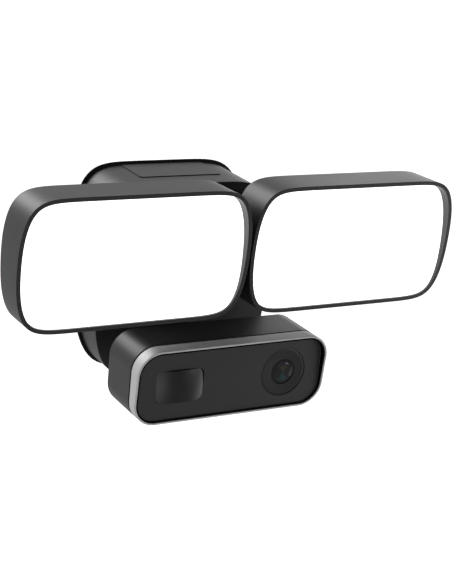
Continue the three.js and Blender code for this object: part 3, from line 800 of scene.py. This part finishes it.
def front_panel(place):
    """A smoked tray: the flat front, a thin wall that lines the bezel, a window hole and a lens hole."""
    tip, edge = -math.tan(CAMERA_HOOD), TRAY_RIM["front"]
    middle, outside = CAMERA["rim"] + 3, CAMERA["rim"] + 0.2
    inside = outside + TRAY_RIM["thickness"]
    tray = loft("front_panel", place, camera_outline(), [
        (middle, PANEL[0], 0, 0),
        (inside, PANEL[0], 0, 0.3),
        (inside, edge, tip, 0.2),
        (outside, edge, tip, 0.2),
        (outside, PANEL[1], 0, 0.3),
        (middle, PANEL[1], 0, 0),
    ])
    window = slab("window", place, window_outline(0.25), PANEL[0] - 4, PANEL[1] + 2, radius=0.1)
    at_lens = place @ shifted(LENS_X, 0, 0)
    lens_hole = disc("lens_hole", at_lens, LENS_HOLE, PANEL[0] - 1, PANEL[1] + 2, rounding=0.1, segments=96)
    return carve(tray, window, lens_hole)


def gasket(name, place, outline, outside, inside, front, back, rounding):
    """A flat ring between two insets of an outline."""
    return loft(name, place, outline, [
        (outside, front, 0, rounding),
        (inside, front, 0, rounding),
        (inside, back, 0, rounding),
        (outside, back, 0, rounding),
    ], closed=True)


def seam_gasket(place):
    return gasket("seam", place, camera_outline(), 0.9, 3, *SEAM, rounding=0.1)


def camera_shell(place):
    """A deep shell with a pocket in its back for the hinge, speaker slots below and a button hole."""
    depth, wall = CAMERA["depth"], CAMERA["wall"]
    shell = loft("shell", place, camera_outline(), [
        (wall + 4, depth - wall, 0, 0),
        (wall, depth - wall, 0, 1.5),
        (wall, SHELL_FRONT, 0, 0.2),
        (0, SHELL_FRONT, 0, 0.25),
        (0, depth, 0, 0.8),
        (4, depth, 0, 0),
    ])
    half_width, half_height, front = POCKET["half_width"], POCKET["half_height"], POCKET["front"]
    outside = rounded_outline(half_width + wall, half_height + wall, 3, steps=6)
    inside = rounded_outline(half_width, half_height, 1.5, steps=6)
    fuse(shell, slab("pocket_wall", place, outside, front - wall, depth - 0.5, radius=0.5))
    carve(shell, slab("pocket", place, inside, front, depth + 5, radius=0.5))
    fuse(shell, *lug_pair(place, 0, front - 1, CAMERA_PIN_DEPTH))
    slots = []
    for i in range(SPEAKER_SLOT["count"]):
        below = place @ shifted(0, SPEAKER_SLOT["first"] + i * SPEAKER_SLOT["pitch"], -CAMERA["half_height"])
        outline = rounded_outline(SPEAKER_SLOT["half_length"], SPEAKER_SLOT["reach"], 0.4, steps=2)
        half = SPEAKER_SLOT["half_width"]
        slots.append(slab("slot", below, outline, -half, half, radius=0.1))
    at_button, radius = place @ shifted(BUTTON["x"], 0, 0), BUTTON["radius"] + GAP
    button_hole = disc("hole", at_button, radius, depth - 6, depth + 3, rounding=0.1)
    pin_bore = bore(place @ shifted(0, CAMERA_PIN_DEPTH, 0) @ ALONG_X, reach=15)
    return carve(shell, *slots, button_hole, pin_bore)


def motion_lens(place, rings=14):
    """A window whose face bulges like the end of an egg, in rings that close on its middle."""
    points = evenly_spaced(window_outline()[0], 160)
    middle = np.array([WINDOW["x"], WINDOW["z"]])

    def face(x, z):
        across, up = (x - WINDOW["x"]) / BULGE["x"], (z - BULGE["middle_z"]) / BULGE["z"]
        return BULGE["front"] + BULGE["y"] * (1 - math.sqrt(1 - across**2 - up**2))

    count = len(points)
    vertices = [(x, PANEL[1] + 2.4, z) for x, z in points]
    for ring in range(rings):
        share = 1 - (ring / rings) ** 1.4
        for x, z in middle + (points - middle) * share:
            vertices.append((x, face(x, z), z))
    faces = [tuple(range(count))]
    for ring in range(rings):
        here, there = ring * count, (ring + 1) * count
        for i in range(count):
            j = (i + 1) % count
            faces.append((here + i, here + j, there + j, there + i))
    faces.append(tuple(range(rings * count, (rings + 1) * count)))
    return solid("motion_lens", place, vertices, faces)


def lens_ring(place):
    """A dark ring round the glass, slightly dished, with a chamfer at the edge of the panel's hole."""
    inner, outer = LENS_RING["inner"], LENS_RING["outer"]
    face, back = LENS_FRONT + 0.2, LENS_FRONT + 2.3
    return turned("lens_ring", place, [
        (inner, face + LENS_RING["dish"], 0.1),
        (LENS_RING["chamfer"], face, 0.3),
        (outer, face + 0.15, 0.1),
        (outer, back, 0.1),
        (inner, back, 0.1),
    ], closed=True, segments=128)


def lens_barrel(place):
    """A tube behind the glass, wider at its back."""
    front, step, back = LENS_FRONT + 1.8, LENS_BARREL["step"], LENS_BARREL["back"]
    return turned("lens_barrel", place, [
        (LENS_BARREL["bore"], front, 0.1),
        (LENS_BARREL["front_radius"], front, 0.2),
        (LENS_BARREL["front_radius"], step, 0),
        (LENS_BARREL["back_radius"], step, 0.2),
        (LENS_BARREL["back_radius"], back, 0.2),
        (LENS_BARREL["bore"], back, 0.1),
    ], closed=True, segments=96)


def lens_dome(place, steps=16):
    """A front element: a shallow cap of a sphere on a short rim."""
    cap_radius, sphere = LENS_CAP["radius"], LENS_CAP["sphere"]
    back = LENS_FRONT + 1.7
    corners = [(cap_radius - 1, back, 0), (cap_radius, back, 0.1)]
    for step in range(steps, 0, -1):
        radius = cap_radius * step / steps
        corners.append((radius, LENS_FRONT + sphere - math.sqrt(sphere**2 - radius**2), 0))
    return turned("lens_dome", place, corners, segments=96)


def setup_button(place):
    """A round button with a flange inside the shell and a dished end outside it."""
    depth, radius = CAMERA["depth"], BUTTON["radius"]
    flange, end = BUTTON["flange"], depth + BUTTON["proud"]
    inside = depth - CAMERA["wall"] - 1.1
    return turned("setup_button", place @ shifted(BUTTON["x"], 0, 0), [
        (radius, inside - flange, 0),
        (radius + flange, inside - flange, 0.2),
        (radius + flange, inside, 0.2),
        (radius, inside, 0),
        (radius, end, 0.6),
        (radius - 1.2, end, 0.3),
        (radius - 1.6, depth + 0.7, 0.2),
        (0.5, depth + 0.6, 0),
    ])


def add_camera():
    place = CAMERA_PLACE
    eye = place @ shifted(LENS_X, 0, 0)
    stand_in(bezel(place), "camera_bezel")
    stand_in(front_panel(place), "camera_front_panel")
    stand_in(seam_gasket(place), "camera_seam_gasket")
    stand_in(camera_shell(place), "camera_shell")
    stand_in(motion_lens(place), "motion_lens")
    stand_in(lens_ring(eye), "lens_ring")
    stand_in(lens_barrel(eye), "lens_barrel")
    stand_in(lens_dome(eye), "lens_glass")
    stand_in(setup_button(place), "setup_button")
    at_pin = place @ shifted(0, CAMERA_PIN_DEPTH, 0) @ ALONG_X
    stand_in(bolt(at_pin, JOINT["tongue"] + GAP + JOINT["lug"]), "camera_tilt_bolt")


# ---------- base ----------
def upright_back(inset):
    """The ring where the leaning housing is cut off parallel to the wall."""
    return (inset, BASE_BACK / math.cos(BASE_TILT), math.tan(BASE_TILT), 0.3)


def hatch_block(name, extra):
    """A block with rounded front corners that reaches down through the housing's top."""
    depth, bottom, top, corner = 60, 50, 80, 3
    outline = rounded_outline(HATCH["half_width"] + extra, depth / 2, corner + extra, steps=8)
    middle_y = HATCH["front"] - extra + depth / 2
    return slab(name, BASE_PLACE @ shifted(0, middle_y, 0) @ ALONG_Z, outline, bottom, top, radius=0.1)


def base_housing():
    """A deep box with bowed sides, open at the wall, with a hatch in its top and two seats for screws."""
    length, wall = BASE["length"], BASE["wall"]
    housing = loft("base_housing", BASE_PLACE, bowed_outline(BASE), [
        (wall + 6, wall - length, 0, 0),
        (wall, wall - length, 0, 1),
        upright_back(wall),
        upright_back(0),
        (0, -length, 0, 0.4),
        (3, -length, 0, 0),
    ])
    screw_holes = []
    for x in (-TAB["x"], TAB["x"]):
        here = shifted(x, TAB["y"], 0) @ ALONG_Z
        screw_holes.append(disc("shank_hole", here, 1.9, -75, -60, rounding=0.1, segments=32))
        screw_holes.append(disc("seat", here, 3.4, -78, SCREW_SEAT + GAP, rounding=0.1, segments=48))
    return carve(housing, hatch_block("hatch_hole", HATCH["seam"]), *screw_holes)


def service_cover():
    """The hatch: a piece of the housing's skin that stands slightly proud of it."""
    skin = loft("service_cover", BASE_PLACE, bowed_outline(BASE), [
        (-HATCH["rise"], -BASE["length"], 0, 0),
        (HATCH["thickness"], -BASE["length"], 0, 0),
        upright_back(HATCH["thickness"]),
        upright_back(-HATCH["rise"]),
    ], closed=True)
    return common(skin, hatch_block("hatch", 0))


def slot_tool(x, z):
    """Cuts one slot for a screw of the junction box, lying towards the plate's middle."""
    long, short = BOX_SCREW["half_length"], BOX_SCREW["half_width"]
    half_x, half_z = (long, short) if z == 0 else (short, long)
    outline = moved_outline(rounded_outline(half_x, half_z, short - 0.05, steps=8), x=x, z=z)
    return slab("slot", UPRIGHT, outline, -4, 3, radius=0.1)


def wall_plate():
    """Steel bracket with a cable hole, four slots for the junction box's screws and two screw tabs."""
    plate = slab("wall_plate", UPRIGHT, bowed_outline(PLATE), -PLATE["thickness"], 0, radius=0.25)
    tabs, tools = [], []
    for x in (-TAB["x"], TAB["x"]):
        section = rounded_outline(TAB["half_width"], TAB["half_thickness"], 0.4, steps=2)
        outline = moved_outline(section, x=x, z=TAB["z"])
        tabs.append(slab("tab", UPRIGHT, outline, -TAB["reach"], -0.5, radius=0.3))
        at_hole = shifted(x, TAB["y"], TAB["z"]) @ ALONG_Z
        tools.append(disc("tab_hole", at_hole, SCREW_HOLE, -3, 3, rounding=0.1, segments=32))
    fuse(plate, *tabs)
    offset = BOX_SCREW["offset"]
    for x, z in ((-offset, 0), (offset, 0), (0, -offset), (0, BOX_SCREW["upper_offset"])):
        tools.append(slot_tool(x, z))
    at_cable = shifted(0, 0, CABLE_HOLE["z"])
    tools.append(disc("cable_hole", at_cable, CABLE_HOLE["radius"], -5, 5, rounding=0.1))
    return carve(plate, *tools)


def wall_gasket():
    front, back = BASE_BACK + 0.1, -PLATE["thickness"] - 0.1
    return gasket("wall_gasket", UPRIGHT, bowed_outline(PLATE), 2.3, 4.4, front, back, rounding=0.2)


def cable_grommet():
    """A rubber ring in the cable hole, with a collar in front of the plate."""
    cable, neck, collar = CABLE_HOLE["cable"], CABLE_HOLE["radius"] - GAP, CABLE_HOLE["radius"] + 2
    seat, back = -PLATE["thickness"] - GAP, -0.2
    front = seat - 3
    return turned("cable_grommet", shifted(0, 0, CABLE_HOLE["z"]), [
        (cable, front, 0.4),
        (collar, front, 0.6),
        (collar, seat, 0.3),
        (neck, seat, 0.2),
        (neck, back, 0.2),
        (cable, back, 0.4),
    ], closed=True, segments=96)


def add_base():
    stand_in(wall_plate(), "wall_plate")
    stand_in(wall_gasket(), "wall_gasket")
    stand_in(cable_grommet(), "cable_grommet")
    stand_in(base_housing(), "base_housing")
    stand_in(service_cover(), "service_cover")
    for side, x in (("left", -TAB["x"]), ("right", TAB["x"])):
        below = shifted(x, TAB["y"], SCREW_SEAT) @ Matrix.Rotation(-math.pi / 2, 4, "X")
        stand_in(screw(below, length=12), f"housing_screw_{side}")


# ---------- build ----------
add_base()
for arm_name in ("left_head", "right_head", "camera"):
    add_arm(arm_name)
add_head("left_head", -1)
add_head("right_head", 1)
add_camera()
dress_other_nodes()


# ---------- studio ----------
def studio_floor():
    """A plain pale floor well below the object."""
    mesh = bpy.data.meshes.new("floor")
    level, reach = -0.35, 6
    square = ((-1, -1), (1, -1), (1, 1), (-1, 1))
    mesh.from_pydata([(x * reach, y * reach, level) for x, y in square], [], [(0, 1, 2, 3)])
    floor = bpy.data.objects.new("floor", mesh)
    bpy.context.scene.collection.objects.link(floor)
    finish = Finish("pale_floor")
    mesh.materials.append(finish.set(
        Base_Color=finish.blend(finish.noise(60), 0.86, 0.88), Roughness=0.8,
        Emission_Color=(1, 1, 1, 1), Emission_Strength=0.85,
    ))
    floor.visible_glossy = False
    floor.visible_diffuse = False
    floor.visible_shadow = False


def softbox(name, place, aim, width, height, radiance):
    """A rectangular light whose face looks as bright as `radiance` times a white wall."""
    light = bpy.data.lights.new(name, "AREA")
    light.shape = "RECTANGLE"
    light.size, light.size_y = width, height
    light.energy = radiance * math.pi * width * height
    lamp = bpy.data.objects.new(name, light)
    bpy.context.scene.collection.objects.link(lamp)
    lamp.location = place
    lamp.rotation_mode = "QUATERNION"
    lamp.rotation_quaternion = (Vector(aim) - Vector(place)).to_track_quat("-Z", "Y")


def studio_world():
    """White behind the object and dark in front of it; the camera itself sees plain white."""
    world = bpy.data.worlds.new("studio")
    bpy.context.scene.world = world
    world.use_nodes = True
    tree = world.node_tree
    tree.nodes.clear()
    coordinates = tree.nodes.new("ShaderNodeTexCoord")
    parts = tree.nodes.new("ShaderNodeSeparateXYZ")
    tree.links.new(coordinates.outputs["Generated"], parts.inputs[0])

    def ramp(source, start, end, low, high):
        """A smooth change from low to high while a direction's coordinate goes from start to end."""
        level = tree.nodes.new("ShaderNodeMapRange")
        level.interpolation_type = "SMOOTHSTEP"
        ends = (("From Min", start), ("From Max", end), ("To Min", low), ("To Max", high))
        for key, value in ends:
            if isinstance(value, bpy.types.NodeSocket):
                tree.links.new(value, level.inputs[key])
            else:
                level.inputs[key].default_value = value
        tree.links.new(source, level.inputs["Value"])
        return level.outputs["Result"]

    in_front = ramp(parts.outputs["Z"], -0.5, -0.1, 0.27, 0.12)
    level = ramp(parts.outputs["Y"], -0.55, 0.35, in_front, 0.64)
    surroundings = tree.nodes.new("ShaderNodeBackground")
    tree.links.new(level, surroundings.inputs["Strength"])
    plain = tree.nodes.new("ShaderNodeBackground")
    plain.inputs["Strength"].default_value = 1.0
    for node in (surroundings, plain):
        node.inputs["Color"].default_value = (1, 1, 1, 1)
    path = tree.nodes.new("ShaderNodeLightPath")
    mix = tree.nodes.new("ShaderNodeMixShader")
    tree.links.new(path.outputs["Is Camera Ray"], mix.inputs[0])
    tree.links.new(surroundings.outputs[0], mix.inputs[1])
    tree.links.new(plain.outputs[0], mix.inputs[2])
    output = tree.nodes.new("ShaderNodeOutputWorld")
    tree.links.new(mix.outputs[0], output.inputs["Surface"])


def studio_camera():
    """In front of the object, to its left and a little above, as in the photograph."""
    azimuth, elevation, roll = math.radians(29.56), math.radians(9.09), math.radians(0.11)
    distance = 0.9922
    aim = Vector((0.05186, 0, -0.02547))
    level = math.cos(elevation)
    looking = Vector((math.sin(azimuth) * level, math.cos(azimuth) * level, -math.sin(elevation)))
    data = bpy.data.cameras.new("camera")
    data.lens = 86.7
    data.sensor_width = 36
    data.clip_start, data.clip_end = 0.05, 30
    camera = bpy.data.objects.new("camera", data)
    bpy.context.scene.collection.objects.link(camera)
    camera.rotation_mode = "QUATERNION"
    turn = Matrix.Rotation(roll, 3, "Z").to_quaternion()
    camera.rotation_quaternion = looking.to_track_quat("-Z", "Y") @ turn
    camera.location = aim - looking * distance
    bpy.context.scene.camera = camera


studio_floor()
studio_world()
# Name, place, aim, width and height in metres, radiance.
LIGHTS = [
    ("key", (-0.45, 0.85, 1.0), (0, -0.08, 0), 0.9, 0.9, 4.2),
    ("back_right", (1.05, 0.85, 0.45), (0.1, -0.1, 0.05), 0.6, 0.4, 1.6),
    ("right_fill", (1.1, -0.42, -0.5), (0, -0.1, -0.05), 0.6, 0.6, 2.3),
    ("front_fill", (-0.12, -1.2, -0.6), (0, -0.1, -0.06), 0.5, 0.5, 1.4),
    ("glint", (1.0, -1.2, -0.43), (0.04, -0.1, -0.06), 0.22, 0.08, 9.0),
]
for light in LIGHTS:
    softbox(*light)
studio_camera()
bpy.context.scene.view_settings.view_transform = "Standard"
